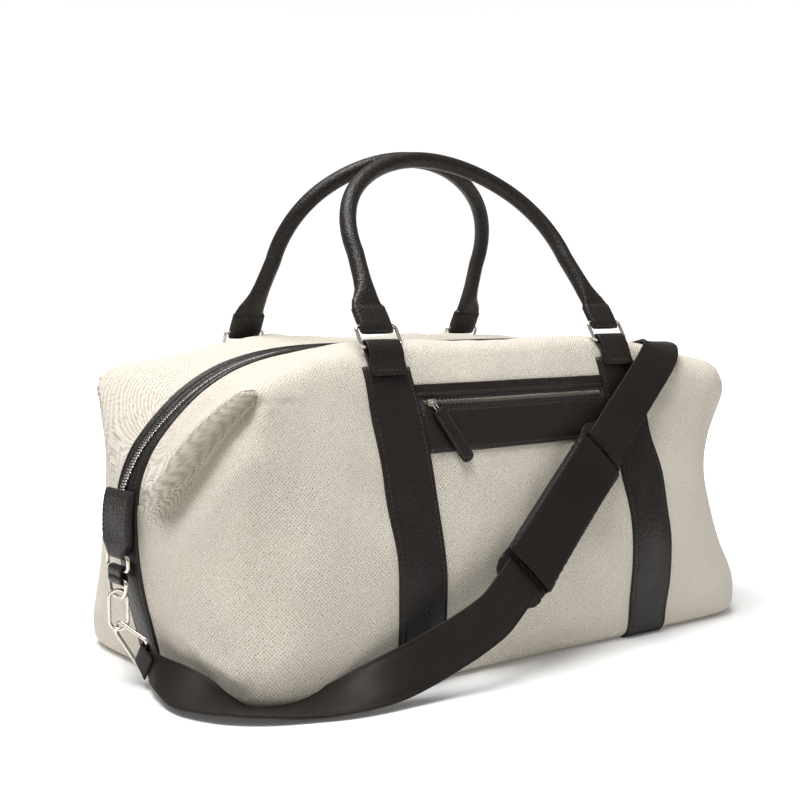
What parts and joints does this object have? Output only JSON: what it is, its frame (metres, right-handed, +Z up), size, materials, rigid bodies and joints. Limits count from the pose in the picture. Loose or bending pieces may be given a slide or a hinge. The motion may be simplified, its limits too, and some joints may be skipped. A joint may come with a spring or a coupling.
{
  "type": "duffel bag",
  "caption": "Canvas and dark leather weekend duffel bag with two rolled handles, zipped top, zipped front pocket and clip-on padded shoulder strap.",
  "frame": {"origin": "middle of the bag's base, on the surface that it stands on", "axes": "+X along the bag's length, from the end on the picture's left to the end on its right; -Y is the front with the zipped pocket; +Z up"},
  "size_m": [0.6519, 0.4043, 0.4368],
  "materials": {
    "canvas": "woven cream canvas with fine taupe flecks",
    "lining": "plain cotton",
    "board": "matte",
    "rope": "twisted cotton",
    "leather": "dark brown pebbled leather, low sheen",
    "strap_leather": "dark brown smooth leather",
    "pad_leather": "dark brown soft leather",
    "metal": "pale nickel, polished",
    "zip_metal": "antique nickel",
    "zip_tape": "dark herringbone tape"
  },
  "bodies": {
    "bag": {"base_board": "board", "canvas_back_panel": "canvas", "canvas_base_panel": "canvas", "canvas_front_panel": "canvas", "end_strip_left": "leather", "end_strip_right": "leather", "end_tab_left": "leather", "end_tab_right": "leather", "lining_back": "lining", "lining_base": "lining", "lining_front": "lining", "pocket_bag": "lining", "pocket_lower_band": "leather", "pocket_upper_band": "leather", "pocket_zip_tape": "zip_tape", "pocket_zip_teeth": "zip_metal", "shoulder_strap": "strap_leather", "strap_adjuster": "metal", "strap_back_left": "leather", "strap_back_right": "leather", "strap_end_loop_left": "strap_leather", "strap_end_loop_right": "strap_leather", "strap_front_left": "leather", "strap_front_right": "leather", "strap_ring_left": "metal", "strap_ring_right": "metal", "zip_binding_back": "leather", "zip_binding_front": "leather", "zip_tape_back": "zip_tape", "zip_tape_front": "zip_tape", "zip_teeth": "zip_metal"},
    "ring_front_left": {"handle_ring_front_left": "metal"},
    "ring_front_right": {"handle_ring_front_right": "metal"},
    "handle_front": {"handle_front": "leather", "handle_front_core": "rope"},
    "ring_back_left": {"handle_ring_back_left": "metal"},
    "ring_back_right": {"handle_ring_back_right": "metal"},
    "handle_back": {"handle_back": "leather", "handle_back_core": "rope"},
    "zip_slider_left": {"zip_slider_left": "zip_metal"},
    "zip_pull_left": {"zip_pull_left": "leather"},
    "zip_slider_right": {"zip_slider_right": "zip_metal"},
    "zip_pull_right": {"zip_pull_right": "leather"},
    "pocket_zip_slider": {"pocket_zip_slider": "zip_metal"},
    "pocket_zip_pull": {"pocket_zip_pull": "leather"},
    "tab_ring_left": {"tab_ring_left": "metal"},
    "link_loop_left": {"link_loop_left": "strap_leather"},
    "d_ring_left": {"d_ring_left": "metal"},
    "hook_left": {"hook_left": "metal"},
    "hook_gate_left": {"hook_gate_left": "metal"},
    "tab_ring_right": {"tab_ring_right": "metal"},
    "link_loop_right": {"link_loop_right": "strap_leather"},
    "d_ring_right": {"d_ring_right": "metal"},
    "hook_right": {"hook_right": "metal"},
    "hook_gate_right": {"hook_gate_right": "metal"},
    "shoulder_pad": {"shoulder_pad": "pad_leather"}
  },
  "joints": [
    {"name": "ring_front_left_turn", "type": "hinge", "parent": "bag", "child": "ring_front_left", "pos_m": [-0.131, -0.104, 0.265], "axis": [1, 0, 0], "range_deg": [0, 25]},
    {"name": "ring_front_right_turn", "type": "hinge", "parent": "bag", "child": "ring_front_right", "pos_m": [0.131, -0.104, 0.265], "axis": [1, 0, 0], "range_deg": [0, 25]},
    {"name": "handle_front_turn", "type": "hinge", "parent": "ring_front_left", "child": "handle_front", "pos_m": [-0.131, -0.09421, 0.28129], "axis": [1, 0, 0], "range_deg": [0, 110]},
    {"name": "ring_back_left_turn", "type": "hinge", "parent": "bag", "child": "ring_back_left", "pos_m": [-0.131, 0.1115, 0.255], "axis": [-1, 0, 0], "range_deg": [0, 25]},
    {"name": "ring_back_right_turn", "type": "hinge", "parent": "bag", "child": "ring_back_right", "pos_m": [0.131, 0.1115, 0.255], "axis": [-1, 0, 0], "range_deg": [0, 25]},
    {"name": "handle_back_turn", "type": "hinge", "parent": "ring_back_left", "child": "handle_back", "pos_m": [-0.131, 0.10438, 0.27262], "axis": [-1, 0, 0], "range_deg": [0, 150]},
    {"name": "zip_slider_left_run", "type": "slide", "parent": "bag", "child": "zip_slider_left", "axis": [-1, 0, 0], "range_m": [0, 0.105]},
    {"name": "zip_pull_left_lift", "type": "hinge", "parent": "zip_slider_left", "child": "zip_pull_left", "pos_m": [-0.013, 0, 0.26215], "axis": [0, 1, 0], "range_deg": [0, 100]},
    {"name": "zip_slider_right_run", "type": "slide", "parent": "bag", "child": "zip_slider_right", "axis": [1, 0, 0], "range_m": [0, 0.105]},
    {"name": "zip_pull_right_lift", "type": "hinge", "parent": "zip_slider_right", "child": "zip_pull_right", "pos_m": [0.013, 0, 0.26215], "axis": [0, -1, 0], "range_deg": [0, 100]},
    {"name": "pocket_zip_slider_run", "type": "slide", "parent": "bag", "child": "pocket_zip_slider", "axis": [1, 0, 0], "range_m": [0, 0.095]},
    {"name": "pocket_zip_pull_lift", "type": "hinge", "parent": "pocket_zip_slider", "child": "pocket_zip_pull", "pos_m": [-0.095, -0.12353, 0.21986], "axis": [-0.848, -0.1899, -0.4947], "range_deg": [0, 100]},
    {"name": "tab_ring_left_swing", "type": "hinge", "parent": "bag", "child": "tab_ring_left", "pos_m": [-0.313, 0, 0.104], "axis": [0, 1, 0], "range_deg": [-1, 1]},
    {"name": "link_loop_left_swing", "type": "hinge", "parent": "tab_ring_left", "child": "link_loop_left", "pos_m": [-0.313, 0, 0.0915], "axis": [0, 1, 0], "range_deg": [-1, 1]},
    {"name": "d_ring_left_swing", "type": "hinge", "parent": "link_loop_left", "child": "d_ring_left", "pos_m": [-0.313, 0, 0.0835], "axis": [0, 1, 0], "range_deg": [-1, 1]},
    {"name": "hook_left_turn", "type": "hinge", "parent": "bag", "child": "hook_left", "pos_m": [-0.313, 0, 0.06], "axis": [0, 0, 1], "range_deg": [0, 15]},
    {"name": "hook_gate_left_open", "type": "hinge", "parent": "hook_left", "child": "hook_gate_left", "pos_m": [-0.3077, -0.0053, 0.0524], "axis": [-0.7071, -0.7071, 0], "range_deg": [0, 25], "stiffness_Nm_per_rad": 0.004, "springref_deg": -11.46},
    {"name": "tab_ring_right_swing", "type": "hinge", "parent": "bag", "child": "tab_ring_right", "pos_m": [0.313, 0, 0.104], "axis": [0, -1, 0], "range_deg": [-1, 1]},
    {"name": "link_loop_right_swing", "type": "hinge", "parent": "tab_ring_right", "child": "link_loop_right", "pos_m": [0.313, 0, 0.0915], "axis": [0, -1, 0], "range_deg": [-1, 1]},
    {"name": "d_ring_right_swing", "type": "hinge", "parent": "link_loop_right", "child": "d_ring_right", "pos_m": [0.313, 0, 0.0835], "axis": [0, -1, 0], "range_deg": [-1, 1]},
    {"name": "hook_right_turn", "type": "hinge", "parent": "bag", "child": "hook_right", "pos_m": [0.313, 0, 0.06], "axis": [0, 0, 1], "range_deg": [0, 15]},
    {"name": "hook_gate_right_open", "type": "hinge", "parent": "hook_right", "child": "hook_gate_right", "pos_m": [0.3077, 0.0053, 0.0524], "axis": [0.7071, 0.7071, 0], "range_deg": [0, 25], "stiffness_Nm_per_rad": 0.004, "springref_deg": -11.46},
    {"name": "shoulder_pad_slide", "type": "slide", "parent": "bag", "child": "shoulder_pad", "axis": [0.7844, 0.2081, 0.5843], "range_m": [-0.025, 0.025]}
  ],
  "couplings": [
    {"joint": "ring_front_right_turn", "follows": "ring_front_left_turn", "ratio": 1},
    {"joint": "ring_back_right_turn", "follows": "ring_back_left_turn", "ratio": 1}
  ]
}
